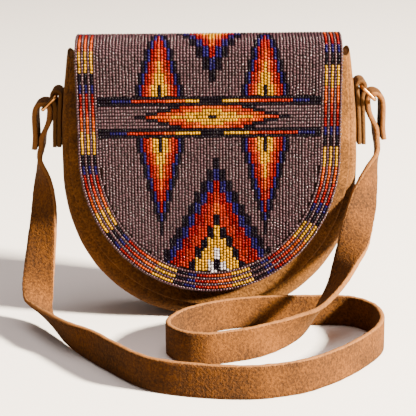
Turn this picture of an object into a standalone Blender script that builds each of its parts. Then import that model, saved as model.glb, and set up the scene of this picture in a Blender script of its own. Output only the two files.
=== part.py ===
"""A beaded crossbody bag: a suede saddle bag with a bead-sewn flap, two ring tabs and a flat shoulder strap.

The bag stands on the floor at z = 0 with its front towards -Y, and the origin is the middle of its base.
Sizes are in millimetres and every mesh is turned to metres as it is made.
"""

import math

import bmesh
import bpy
from mathutils import Matrix, Vector

MM = 0.001
CLEAR = 0.3  # gap left between two pieces that lie on each other

# Body, seen from the front
BODY_HALF_WIDTH = 98.5
WIDEST_HEIGHT = 105.0
GUSSET_TOP = 181.0
TOP_HALF_WIDTH = 92.7
CROWN_POWER = 2.2  # how square the outline's round end is: 2 is an ellipse
BASE_PRESS = 1.5  # how far the standing bag presses its round bottom flat
PANEL_DROP = 3.0  # from the gusset's top to the panel's
PANEL_TOP = GUSSET_TOP - PANEL_DROP

# Seam between a panel and the gusset, measured in from the gusset's crown
SEAM_RISE = 5.0
BULGE_SIDE = 6.0
BULGE_TOP = 2.5
BULGE_BOTTOM = 11.0

# Body, seen from the side
DEPTH_TOP = 36.0
DEPTH_BOTTOM = 52.0
PANEL_THICK = 2.5
PANEL_EDGE_ROUND = 1.0
GUSSET_THICK = 2.2
SEAM_ALLOWANCE = 5.0
GUSSET_POWER = 2.6  # how square the gusset's own cross-section is

# Flap
FLAP_THICK = 2.5
FLAP_TOP_HALF_WIDTH = 87.7
FLAP_HALF_WIDTH = 86.0
FLAP_ROUND_HEIGHT = 115.0  # where the straight sides end
FLAP_TIP_HEIGHT = 22.5
FLAP_STAND_OFF = 3.7  # room for the magnetic snap between flap and panel
HINGE_DROP = 6.0  # from the panel's top to the fold behind it
HINGE_HEIGHT = PANEL_TOP - HINGE_DROP
HINGE_STAND_OFF = 0.2  # the fold turns about a line this far outside the leather
CREST_RISE = 7.7  # from the gusset's top to the outside of the leather over it
CREST_HEIGHT = GUSSET_TOP + CREST_RISE
CREST_BACKSET = -1.7
SHOULDER_DROP = 6.0
SHOULDER_HEIGHT = PANEL_TOP - SHOULDER_DROP  # where the front of the flap starts to bend over
ARCH_BACK_RISE = 1.0
ARCH_BACK_HEIGHT = PANEL_TOP + ARCH_BACK_RISE
ARCH_POWER = 2.4
ARCH_STEPS = 3  # facets in each half of the arch
YOKE_DEPTH = 19.0
YOKE_CORNER = 7.0

# Beadwork: strings of seed beads sewn side by side
STRING_PITCH = 2.07
BEAD_PITCH = 1.91
BEAD_VALLEY = 1.0
BEAD_CREST = 1.9
BEAD_START = 6.0  # bare leather beside the hinge
BORDER_ROWS = 7
BORDER_PITCH = 1.96
BAND_TOP_HEIGHT = 153.8
BAND_PITCH = 2.11
BAR_ROWS = 3
DIAMOND_ROWS = 7
STEP_BEADS = 4
PATTERN_SHIFT = 2.0  # strings from the middle of the flap to the middle of the pattern
FLAME_OFFSET = 16.5  # strings from the middle of the pattern to each flame
PYRAMID_HEIGHT = 101.0  # point of the pyramid's coloured middle
TRIANGLE_RISE = 29.7  # from the band to the point of the small triangle's middle, along the leather
TRIANGLE_HEIGHT = BAND_TOP_HEIGHT + TRIANGLE_RISE

# Magnetic snap
SNAP_HEIGHT = 48.0
SNAP_RADIUS = 9.0
SOCKET_THICK = 1.8
SOCKET_HOLE_RADIUS = 3.8
SOCKET_HOLE_DEPTH = 1.5
STUD_THICK = 1.0
PIN_RADIUS = 3.2
PIN_LENGTH = 1.4

# Tabs and rings
TAB_WIDTH = 20.0
TAB_THICK = 2.6
TAB_END_HEIGHT = 117.0
TAB_STAND_OFF = CLEAR + TAB_THICK / 2  # from the gusset to the middle of the first layer
TAB_SLIT = 0.4  # between the two layers
TAB_CLOSING = 9.0  # below the ring, the length in which the two layers come together
LEFT_RING_HEIGHT = 151.8
RIGHT_RING_HEIGHT = 156.5
WIRE_RADIUS = 1.2
TAB_LOOP_RADIUS = WIRE_RADIUS + CLEAR + TAB_THICK / 2
RING_DROP = 12.6  # between the wire in the tab and the wire in the strap
RING_HALF_SPAN = 13.5
RING_CORNER = 2.5
RING_TILT = 45.0

# Strap
STRAP_WIDTH = 21.0
STRAP_THICK = 3.4

SIDE_STEPS = 5
ROUND_STEPS = 10
GUSSET_STEPS = 6
TIP_STEPS = 16


def new_material(name, colour, roughness, metallic=0.0):
    material = bpy.data.materials.new(name)
    material.use_nodes = True
    shader = material.node_tree.nodes["Principled BSDF"]
    shader.inputs["Base Color"].default_value = (*colour, 1.0)
    shader.inputs["Roughness"].default_value = roughness
    shader.inputs["Metallic"].default_value = metallic
    return material


def make_piece(bm, name, material, pivot=None):
    """Turns a bmesh in millimetres into a named object, carried by its pivot where it moves."""
    bmesh.ops.recalc_face_normals(bm, faces=bm.faces)
    if bm.calc_volume(signed=True) < 0:
        bmesh.ops.reverse_faces(bm, faces=bm.faces)
    bmesh.ops.scale(bm, vec=(MM, MM, MM), verts=bm.verts)
    mesh = bpy.data.meshes.new(name)
    bm.to_mesh(mesh)
    bm.free()
    mesh.materials.append(material)
    mesh.shade_smooth()
    mesh.set_sharp_from_angle(angle=math.radians(40))
    piece = bpy.data.objects.new(name, mesh)
    bpy.context.scene.collection.objects.link(piece)
    if pivot:
        piece.parent = pivot
        piece.matrix_parent_inverse = pivot.matrix_world.inverted()
    return piece


def new_pivot(name, place):
    pivot = bpy.data.objects.new(name, None)
    pivot.location = Vector(place) * MM
    bpy.context.scene.collection.objects.link(pivot)
    bpy.context.view_layer.update()
    return pivot


def loft(loops, closed=False):
    """A skin over loops of as many points each, capped at both ends unless it runs round to its start."""
    bm = bmesh.new()
    rings = [[bm.verts.new(point) for point in loop] for loop in loops]
    spans = list(zip(rings, rings[1:]))
    if closed:
        spans.append((rings[-1], rings[0]))
    else:
        bm.faces.new(rings[0])
        bm.faces.new(reversed(rings[-1]))
    for ring, following in spans:
        for i, start in enumerate(ring):
            after = (i + 1) % len(ring)
            bm.faces.new((start, following[i], following[after], ring[after]))
    return bm


def prism(outline, low, high):
    """An outline in the x, s plane, standing from height low to height high."""
    return loft([[(x, s, level) for x, s in outline] for level in (low, high)])


# Outlines of the body


def half_depth(height):
    """Distance of a panel's outer face from the middle plane: the bag narrows towards its mouth."""
    share = (height - BULGE_BOTTOM) / (PANEL_TOP - BULGE_BOTTOM)
    return (DEPTH_BOTTOM - (DEPTH_BOTTOM - DEPTH_TOP) * share) / 2


LEAN = math.atan((DEPTH_BOTTOM - DEPTH_TOP) / 2 / (PANEL_TOP - BULGE_BOTTOM))


def half_outline(half_width, top_half_width, widest, top, bottom, power):
    """Right half of a saddle shape from its top corner, down the side and round to the middle of its base."""
    points = []
    for step in range(SIDE_STEPS):
        rise = 1 - step / SIDE_STEPS
        x = half_width - (half_width - top_half_width) * rise**CROWN_POWER
        points.append((x, widest + (top - widest) * rise))
    for step in range(ROUND_STEPS + 1):
        angle = math.pi / 2 * step / ROUND_STEPS
        across = max(0.0, math.cos(angle)) ** (2 / power)
        points.append((half_width * across, widest - (widest - bottom) * math.sin(angle) ** (2 / power)))
    return points


def whole_outline(half):
    """Both halves, from the top right corner round the base to the top left."""
    return half + [(-x, z) for x, z in reversed(half[:-1])]


def crown_outline():
    return whole_outline(
        half_outline(BODY_HALF_WIDTH, TOP_HALF_WIDTH, WIDEST_HEIGHT, GUSSET_TOP, -BASE_PRESS, CROWN_POWER)
    )


def seam_outline():
    return whole_outline(
        half_outline(
            BODY_HALF_WIDTH - BULGE_SIDE,
            TOP_HALF_WIDTH - BULGE_TOP,
            WIDEST_HEIGHT + SEAM_RISE,
            PANEL_TOP,
            BULGE_BOTTOM,
            2.0,
        )
    )


def crown_reach(height):
    """Half width of the gusset's crown above its widest height."""
    rise = (height - WIDEST_HEIGHT) / (GUSSET_TOP - WIDEST_HEIGHT)
    return BODY_HALF_WIDTH - (BODY_HALF_WIDTH - TOP_HALF_WIDTH) * max(0.0, rise) ** CROWN_POWER


# Body pieces


def build_panel(name, side, material):
    """A flat leather panel with a rolled outer edge, leaning in towards the mouth."""
    bm = bmesh.new()
    face = bm.faces.new([bm.verts.new((x, 0, z)) for x, z in seam_outline()])
    raised = bmesh.ops.extrude_face_region(bm, geom=[face])["geom"]
    outer = [item for item in raised if isinstance(item, bmesh.types.BMVert)]
    bmesh.ops.translate(bm, vec=(0, PANEL_THICK, 0), verts=outer)
    rim = [edge for edge in bm.edges if all(vert in outer for vert in edge.verts)]
    bmesh.ops.bevel(
        bm, geom=rim, offset=PANEL_EDGE_ROUND, affect="EDGES", segments=2, profile=0.5, material=-1
    )
    for vert in bm.verts:
        inner_face = half_depth(vert.co.z) - PANEL_THICK
        vert.co.y = side * (inner_face + vert.co.y)
    return make_piece(bm, name, material)


def gusset_section(seam, crown):
    """One cross-section of the gusset: seam allowance, bulged wall and the other seam allowance."""
    seam, crown = Vector((seam[0], 0, seam[1])), Vector((crown[0], 0, crown[1]))
    out = (crown - seam).normalized()
    bulge = (crown - seam).length
    tip = seam - out * SEAM_ALLOWANCE
    loop = []
    for skin, depth, rise in ((0.0, 0.0, bulge), (GUSSET_THICK, GUSSET_THICK, bulge - GUSSET_THICK)):
        reach = half_depth(seam.z) - PANEL_THICK - CLEAR - depth
        tip_reach = half_depth(tip.z) - PANEL_THICK - CLEAR - depth
        side = [tip - Vector((0, tip_reach, 0))]
        for step in range(GUSSET_STEPS + 1):
            angle = math.pi * step / GUSSET_STEPS
            swell = math.sin(angle) ** (2 / GUSSET_POWER) if 0 < step < GUSSET_STEPS else 0.0
            swing = math.cos(angle)
            across = math.copysign(abs(swing) ** (2 / GUSSET_POWER), swing)
            side.append(seam + out * rise * swell - Vector((0, reach * across, 0)))
        side.append(tip + Vector((0, tip_reach, 0)))
        floor = max(0.0, skin)
        side = [Vector((point.x, point.y, max(point.z, floor))) for point in side]
        loop += side if skin == 0.0 else side[::-1]
    return loop


def build_gusset(material):
    sections = [gusset_section(seam, crown) for seam, crown in zip(seam_outline(), crown_outline())]
    return make_piece(loft(sections), "gusset", material)


# Flap: laid out flat in x and s, the distance from the hinge, then bent over the mouth


def flap_profile():
    """Side view of the flap leather's outer face, from the hinge over the crest and down to the tip."""
    back = half_depth(HINGE_HEIGHT) + CLEAR + FLAP_THICK
    front = half_depth(SHOULDER_HEIGHT) + FLAP_STAND_OFF + FLAP_THICK
    points = [Vector((back, HINGE_HEIGHT))]
    for step in range(ARCH_STEPS + 1):
        angle = math.pi / 2 * step / ARCH_STEPS
        run = max(0.0, math.cos(angle)) ** (2 / ARCH_POWER)
        rise = math.sin(angle) ** (2 / ARCH_POWER)
        points.append(
            Vector(
                (
                    CREST_BACKSET + (back - CREST_BACKSET) * run,
                    ARCH_BACK_HEIGHT + (CREST_HEIGHT - ARCH_BACK_HEIGHT) * rise,
                )
            )
        )
    for step in range(1, ARCH_STEPS + 1):
        angle = math.pi / 2 * step / ARCH_STEPS
        run = math.sin(angle) ** (2 / ARCH_POWER)
        rise = max(0.0, math.cos(angle)) ** (2 / ARCH_POWER)
        points.append(
            Vector(
                (
                    CREST_BACKSET - (front + CREST_BACKSET) * run,
                    SHOULDER_HEIGHT + (CREST_HEIGHT - SHOULDER_HEIGHT) * rise,
                )
            )
        )
    tip_depth = half_depth(FLAP_TIP_HEIGHT) + FLAP_STAND_OFF + FLAP_THICK
    points.append(Vector((-tip_depth, FLAP_TIP_HEIGHT)))
    return points


PROFILE = flap_profile()


def profile_stations():
    stations = [0.0]
    for start, end in zip(PROFILE, PROFILE[1:]):
        stations.append(stations[-1] + (end - start).length)
    return stations


STATIONS = profile_stations()
SHOULDER = STATIONS[-2]
FLAP_LENGTH = STATIONS[-1]


def profile_normals():
    """At each corner of the profile, the vector that keeps a layer's thickness through the bend."""
    walls = []
    for start, end in zip(PROFILE, PROFILE[1:]):
        along = (end - start).normalized()
        walls.append(Vector((along.y, -along.x)))
    normals = [walls[0]]
    for before, after in zip(walls, walls[1:]):
        middle = (before + after).normalized()
        normals.append(middle / middle.dot(after))
    return normals + [walls[-1]]


NORMALS = profile_normals()


def bend(bm):
    """Cuts flat work across at every corner of the profile and folds it over the mouth."""
    for station in STATIONS[1:-1]:
        everything = bm.verts[:] + bm.edges[:] + bm.faces[:]
        bmesh.ops.bisect_plane(bm, geom=everything, plane_co=(0, station, 0), plane_no=(0, 1, 0), dist=1e-4)
    for vert in bm.verts:
        x, s, height = vert.co
        span = max(i for i in range(len(STATIONS) - 1) if i == 0 or STATIONS[i] <= s + 1e-6)
        share = (s - STATIONS[span]) / (STATIONS[span + 1] - STATIONS[span])
        place = PROFILE[span].lerp(PROFILE[span + 1], share)
        place += height * NORMALS[span].lerp(NORMALS[span + 1], share)
        vert.co = (x, place.x, place.y)
    return bm


def at_height(height):
    """Distance from the hinge of a height on the flap's flat front."""
    return SHOULDER + (SHOULDER_HEIGHT - height) / math.cos(LEAN)


ROUND_START = at_height(FLAP_ROUND_HEIGHT)


def flap_outline(inset, start):
    """The flap's U from its top right, round the tip to its top left, moved in from the edge."""

    def side(s):
        share = 1 - s / ROUND_START
        return FLAP_HALF_WIDTH + (FLAP_TOP_HALF_WIDTH - FLAP_HALF_WIDTH) * share - inset

    drop = FLAP_LENGTH - ROUND_START
    points = [(side(start), start)]
    for step in range(TIP_STEPS // 2 + 1):
        angle = math.pi / 2 * step / (TIP_STEPS // 2)
        normal = Vector((math.cos(angle) * drop, math.sin(angle) * FLAP_HALF_WIDTH)).normalized()
        x = math.cos(angle) * FLAP_HALF_WIDTH - normal.x * inset
        points.append((x, ROUND_START + math.sin(angle) * drop - normal.y * inset))
    points[-1] = (0.0, points[-1][1])
    return points + [(-x, s) for x, s in reversed(points[:-1])]


def build_flap(material, hinge):
    return make_piece(bend(prism(flap_outline(0, 0), -FLAP_THICK, 0)), "flap_leather", material, hinge)


def build_yoke(material):
    """The flap's sewn edge, lying on the back panel below the fold."""
    top = HINGE_HEIGHT - CLEAR
    low = HINGE_HEIGHT - YOKE_DEPTH
    outline = [(FLAP_TOP_HALF_WIDTH, top)]
    for step in range(5):
        angle = math.pi / 2 * step / 4
        x = FLAP_TOP_HALF_WIDTH - YOKE_CORNER * (1 - math.cos(angle))
        outline.append((x, low + YOKE_CORNER * (1 - math.sin(angle))))
    outline += [(-x, z) for x, z in reversed(outline)]
    loops = []
    for layer in (0, FLAP_THICK):
        loops.append([(x, half_depth(z) + CLEAR + layer, z) for x, z in outline])
    return make_piece(loft(loops), "flap_yoke", material)


# Beadwork: cut flat from a sheet of strings, then bent with the flap


def ridges(first, count, pitch, start, end, along_x):
    """A sheet of strings side by side: zigzag on top, flat below."""
    section = [(first, CLEAR), (first, BEAD_VALLEY)]
    for string in range(count):
        left = first + string * pitch
        section += [(left + pitch / 2, BEAD_CREST), (left + pitch, BEAD_VALLEY)]
    section.append((first + count * pitch, CLEAR))
    loops = []
    for far in (start, end):
        if along_x:
            loops.append([(far, place, height) for place, height in section])
        else:
            loops.append([(place, far, height) for place, height in section])
    return loft(loops)


def raw_object(bm, name):
    bmesh.ops.recalc_face_normals(bm, faces=bm.faces)
    mesh = bpy.data.meshes.new(name)
    bm.to_mesh(mesh)
    bm.free()
    raw = bpy.data.objects.new(name, mesh)
    bpy.context.scene.collection.objects.link(raw)
    return raw


def cut(sheet, keeps, holes):
    """What part of the bead sheet lies inside every outline to keep and outside the holes, still flat."""
    piece = bpy.data.objects.new("cut", sheet.data)
    bpy.context.scene.collection.objects.link(piece)
    tools = []
    steps = [(keep, "INTERSECT") for keep in keeps] + [(hole, "DIFFERENCE") for hole in holes]
    for outline, operation in steps:
        tool = raw_object(prism(outline, -1, BEAD_CREST + 1), "tool")
        modifier = piece.modifiers.new(operation, "BOOLEAN")
        modifier.operation = operation
        modifier.object = tool
        modifier.solver = "EXACT"
        tools.append(tool)
    bm = bmesh.new()
    bm.from_object(piece, bpy.context.evaluated_depsgraph_get())
    bmesh.ops.dissolve_limit(bm, angle_limit=math.radians(0.5), verts=bm.verts, edges=bm.edges)
    for used in [piece] + tools:
        bpy.data.objects.remove(used)
    return bm


def rectangle(left, right, low, high):
    return [(right, low), (right, high), (left, high), (left, low)]


def stepped(centre, start, way, steps, grow):
    """Outline of a stepped motif: steps are (half width, height) from its base on, grown a little."""
    right = []
    level = start - way * grow
    for place, (half, beads) in enumerate(steps):
        right.append((centre + half * STRING_PITCH + grow, level))
        level += way * (beads * BEAD_PITCH + (2 * grow if place == 0 else 0))
        right.append((centre + half * STRING_PITCH + grow, level))
    return right + [(2 * centre - x, s) for x, s in reversed(right)]


def ringed(steps, strings, tip):
    """The same steps one outline further out, with a tip. A bead's overlap keeps the line whole."""
    wider = [(half + strings, beads) for half, beads in steps]
    wider[0] = (wider[0][0], wider[0][1] + 1)
    return wider + [(steps[-1][0], tip)]


def build_motif(sheet, name, keeps, centre, start, way, steps, strings, tips, materials, hinge):
    """A stepped motif with its blue and its black outline. Returns the hole that it fills in the field."""
    fire, blue, black = materials
    blue_steps = ringed(steps, strings, tips[0])
    black_steps = ringed(blue_steps, strings, tips[1])

    def outline(shape, grow):
        return stepped(centre, start, way, shape, grow)

    bm = cut(sheet, keeps + [outline(steps, -HALF_GAP)], [])
    make_piece(bend(bm), f"{name}_fire", fire, hinge)
    bm = cut(sheet, keeps + [outline(blue_steps, -HALF_GAP)], [outline(steps, HALF_GAP)])
    make_piece(bend(bm), f"{name}_blue", blue, hinge)
    bm = cut(sheet, keeps + [outline(black_steps, -HALF_GAP)], [outline(blue_steps, HALF_GAP)])
    make_piece(bend(bm), f"{name}_black", black, hinge)
    return outline(black_steps, HALF_GAP)


HALF_GAP = CLEAR / 2
CENTRE = PATTERN_SHIFT * STRING_PITCH
BAND_TOP = at_height(BAND_TOP_HEIGHT)
BAND_BOTTOM = BAND_TOP + (2 * BAR_ROWS + DIAMOND_ROWS) * BAND_PITCH
EDGE_INSET = BORDER_ROWS * BORDER_PITCH

UPPER_FLAME = [(5.5 - step, STEP_BEADS) for step in range(6)]
LOWER_FLAME = [(5.5 - step, STEP_BEADS + (step in (0, 2))) for step in range(6)]
TRIANGLE = [(7 - 2 * step, STEP_BEADS) for step in range(4)]
PYRAMID = [(17 - 2 * step, STEP_BEADS) for step in range(9)]
DIAMOND = [10, 14, 18, 22, 18, 14, 10]  # beads from the middle to the end of each row
DIAMOND_TIP = 5  # black beads after them


def motif_length(steps):
    return sum(beads for _, beads in steps) * BEAD_PITCH


def build_vertical_beads(colours, hinge):
    """The field above and below the band, and the motifs sewn into it."""
    count = 2 * math.ceil(FLAP_HALF_WIDTH / STRING_PITCH)
    first = -count / 2 * STRING_PITCH
    sheet = raw_object(ridges(first, count, STRING_PITCH, BEAD_START, FLAP_LENGTH, False), "sheet")
    inside = flap_outline(EDGE_INSET + HALF_GAP, BEAD_START + HALF_GAP)
    triple = (colours["fire"], colours["blue"], colours["black"])
    upper_holes = []
    lower_holes = []
    for side, offset in (("left", -FLAME_OFFSET), ("right", FLAME_OFFSET)):
        centre = CENTRE + offset * STRING_PITCH
        upper_holes.append(
            build_motif(
                sheet, f"upper_{side}", [], centre, BAND_TOP, -1, UPPER_FLAME, 1, (2, 2), triple, hinge
            )
        )
        lower_holes.append(
            build_motif(
                sheet, f"lower_{side}", [], centre, BAND_BOTTOM, 1, LOWER_FLAME, 1, (3, 3), triple, hinge
            )
        )
    one_step = (STEP_BEADS, STEP_BEADS)
    start = SHOULDER + SHOULDER_HEIGHT - TRIANGLE_HEIGHT - motif_length(TRIANGLE)
    upper_holes.append(
        build_motif(sheet, "triangle", [], CENTRE, start, 1, TRIANGLE, 2, one_step, triple, hinge)
    )
    start = at_height(PYRAMID_HEIGHT) + motif_length(PYRAMID)
    lower_holes.append(
        build_motif(sheet, "pyramid", [inside], CENTRE, start, -1, PYRAMID, 2, one_step, triple, hinge)
    )
    side = FLAP_TOP_HALF_WIDTH
    above = rectangle(-side, side, 0, BAND_TOP - HALF_GAP)
    below = rectangle(-side, side, BAND_BOTTOM + HALF_GAP, FLAP_LENGTH + 1)
    for name, part, holes in (("field_top", above, upper_holes), ("field_bottom", below, lower_holes)):
        make_piece(bend(cut(sheet, [inside, part], holes)), name, colours["grey"], hinge)
    bpy.data.objects.remove(sheet)


def diamond_outline(extra, grow):
    """The stepped diamond of the band, with its rows longer by so many beads."""
    right = []
    level = BAND_TOP + BAR_ROWS * BAND_PITCH - grow
    for row, beads in enumerate(DIAMOND):
        edge = (beads + extra) * BEAD_PITCH + grow
        right.append((CENTRE + edge, level))
        level += BAND_PITCH + (grow if row in (0, len(DIAMOND) - 1) else 0)
        right.append((CENTRE + edge, level))
    return right + [(2 * CENTRE - x, s) for x, s in reversed(right)]


def build_band(colours, hinge):
    """The band of strings sewn across: a bar, a row of grey beads with the diamond, and another bar."""
    rows = 2 * BAR_ROWS + DIAMOND_ROWS
    side = FLAP_TOP_HALF_WIDTH
    sheet = raw_object(ridges(BAND_TOP, rows, BAND_PITCH, -side, side, True), "band_sheet")
    inside = flap_outline(EDGE_INSET + HALF_GAP, BEAD_START)
    start = BAND_TOP + BAR_ROWS * BAND_PITCH
    end = BAND_BOTTOM - BAR_ROWS * BAND_PITCH

    def bounded(left, right, low, high):
        return rectangle(left, right, low + HALF_GAP, high - HALF_GAP)

    upper = bounded(-side, side, BAND_TOP, start)
    middle = bounded(-side, side, start, end)
    lower = bounded(-side, side, end, BAND_BOTTOM)
    make_piece(bend(cut(sheet, [inside, upper], [])), "bar_upper", colours["fire"], hinge)
    make_piece(bend(cut(sheet, [inside, lower], [])), "bar_lower", colours["fire"], hinge)
    fire = diamond_outline(0, -HALF_GAP)
    make_piece(bend(cut(sheet, [middle, fire], [])), "diamond_fire", colours["fire"], hinge)
    fire = diamond_outline(0, HALF_GAP)
    outer = diamond_outline(DIAMOND_TIP, -HALF_GAP)
    rim = diamond_outline(DIAMOND_TIP, HALF_GAP)
    for name, left, right in (("left", -side, CENTRE), ("right", CENTRE, side)):
        half = bounded(left, right, start, end)
        make_piece(bend(cut(sheet, [outer, half], [fire])), f"diamond_{name}", colours["black"], hinge)
        make_piece(bend(cut(sheet, [inside, half], [rim])), f"band_{name}", colours["grey"], hinge)
    bpy.data.objects.remove(sheet)


def build_border(colours, hinge):
    """Seven strings that follow the flap's edge, grey and coloured in turn."""
    for row in range(BORDER_ROWS):
        near = row * BORDER_PITCH + HALF_GAP
        far = (row + 1) * BORDER_PITCH - HALF_GAP
        section = [(near, CLEAR), (far, CLEAR), ((near + far) / 2, BEAD_CREST)]
        edges = []
        for inset, height in section:
            edges.append([(x, s, height) for x, s in flap_outline(inset, BEAD_START)])
        colour = colours["grey"] if row % 2 == 0 else colours["fire"]
        make_piece(bend(loft(list(zip(*edges)))), f"border_{row + 1}", colour, hinge)


# Magnetic snap, built lying flat and stood up against the leaning panel


def turned(profile, steps=24):
    """A solid of revolution about Z from (radius, height) corners, closed on the axis by its caps."""
    loops = []
    for radius, height in profile:
        ring = []
        for step in range(steps):
            angle = 2 * math.pi * step / steps
            ring.append((radius * math.cos(angle), radius * math.sin(angle), height))
        loops.append(ring)
    return loft(loops)


def stand_up(bm, distance):
    """Turns +Z towards the viewer, leans it with the panel and sets it so far off the panel's face."""
    turn = Matrix.Rotation(math.pi / 2 - LEAN, 4, "X")
    normal = Vector((0, -math.cos(LEAN), math.sin(LEAN)))
    place = Vector((0, -half_depth(SNAP_HEIGHT), SNAP_HEIGHT)) + normal * distance
    bmesh.ops.transform(bm, matrix=Matrix.Translation(place) @ turn, verts=bm.verts)
    return bm


def build_snap(material, hinge):
    socket = [
        (SNAP_RADIUS - 0.5, 0),
        (SNAP_RADIUS, 0.5),
        (SNAP_RADIUS, SOCKET_THICK - 0.5),
        (SNAP_RADIUS - 0.5, SOCKET_THICK),
        (SOCKET_HOLE_RADIUS, SOCKET_THICK),
        (SOCKET_HOLE_RADIUS, SOCKET_THICK - SOCKET_HOLE_DEPTH),
    ]
    make_piece(stand_up(turned(socket), CLEAR), "snap_socket", material)
    flap_inside = FLAP_STAND_OFF * math.cos(LEAN)
    stud = [
        (SNAP_RADIUS, 0),
        (SNAP_RADIUS, -STUD_THICK),
        (PIN_RADIUS, -STUD_THICK),
        (PIN_RADIUS, -STUD_THICK - PIN_LENGTH),
    ]
    make_piece(stand_up(turned(stud), flap_inside - CLEAR), "snap_stud", material, hinge)


# Tabs, rings and strap


def ribbon(points, acrosses, width, thick):
    """A flat strip along a line of points. Each across vector runs from its left edge to its right."""
    loops = []
    for i, point in enumerate(points):
        arriving = (point - points[max(i - 1, 0)]).normalized()
        leaving = (points[min(i + 1, len(points) - 1)] - point).normalized()
        along = (arriving + leaving).normalized()
        across = (acrosses[i] - along * acrosses[i].dot(along)).normalized()
        stretch = 1 / max(along.dot(leaving or arriving), 0.5)
        up = along.cross(across) * (thick / 2 * (stretch if 0 < i < len(points) - 1 else 1))
        side = across * (width / 2)
        loops.append([point - side - up, point + side - up, point + side + up, point - side + up])
    return loft(loops)


def build_tab(name, side, ring_height, material):
    """A strip folded over the ring's wire, with both layers sewn down the gusset."""
    wire = crown_reach(ring_height) + TAB_STAND_OFF + TAB_LOOP_RADIUS
    apart = TAB_THICK + TAB_SLIT
    path = []
    for step in range(6):
        z = TAB_END_HEIGHT + (ring_height - TAB_END_HEIGHT) * step / 5
        path.append((crown_reach(z) + TAB_STAND_OFF, z))
    for step in range(1, 8):
        angle = math.pi * (1 - step / 8)
        x = wire + TAB_LOOP_RADIUS * math.cos(angle)
        path.append((x, ring_height + TAB_LOOP_RADIUS * math.sin(angle)))
    for step in range(4):
        z = ring_height - TAB_CLOSING * step / 3
        ease = 0.5 + 0.5 * math.cos(math.pi * step / 3)
        gap = apart + (2 * TAB_LOOP_RADIUS - apart) * ease
        path.append((crown_reach(z) + TAB_STAND_OFF + gap, z))
    for step in range(1, 4):
        z = ring_height - TAB_CLOSING - (ring_height - TAB_CLOSING - TAB_END_HEIGHT) * step / 3
        path.append((crown_reach(z) + TAB_STAND_OFF + apart, z))
    points = [Vector((side * x, 0, z)) for x, z in path]
    bm = ribbon(points, [Vector((0, -1, 0))] * len(points), TAB_WIDTH, TAB_THICK)
    make_piece(bm, name, material)
    return wire


def build_ring(name, side, wire, height, material):
    """A rectangular wire loop, hanging outwards and down from the tab's fold."""
    pivot = new_pivot(f"{name}_pivot", (side * wire, 0, height))
    tilt = math.radians(RING_TILT)
    out = Vector((side * math.cos(tilt), 0, -math.sin(tilt)))
    along = Vector((0, 1, 0))
    corners = (
        (RING_CORNER, RING_HALF_SPAN - RING_CORNER, math.pi),
        (RING_DROP - RING_CORNER, RING_HALF_SPAN - RING_CORNER, math.pi / 2),
        (RING_DROP - RING_CORNER, RING_CORNER - RING_HALF_SPAN, 0.0),
        (RING_CORNER, RING_CORNER - RING_HALF_SPAN, -math.pi / 2),
    )
    start = Vector((side * wire, 0, height))
    loops = []
    for drop, span, first in corners:
        for step in range(4):
            angle = first - math.pi / 2 * step / 3
            ahead = out * math.cos(angle) + along * math.sin(angle)
            centre = start + out * drop + along * span + ahead * RING_CORNER
            flat = out.cross(along)
            loop = []
            for corner in range(8):
                turn = 2 * math.pi * corner / 8
                loop.append(centre + (ahead * math.cos(turn) + flat * math.sin(turn)) * WIRE_RADIUS)
            loops.append(loop)
    make_piece(loft(loops, closed=True), name, material, pivot)


# The strap loops through the ring: distances out from the wire and up from it, return end outside
STRAP_LOOP = (
    (6.9, -27.4), (5.9, -19.5), (6.0, -12.0), (5.9, -4.5), (4.8, 0.5), (2.6, 2.6), (0.0, 3.3),
    (-2.6, 2.6), (-4.2, 0.3), (-4.0, -4.5), (-3.0, -9.5), (-0.8, -14.5), (1.5, -19.5), (2.4, -26.5),
)
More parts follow.
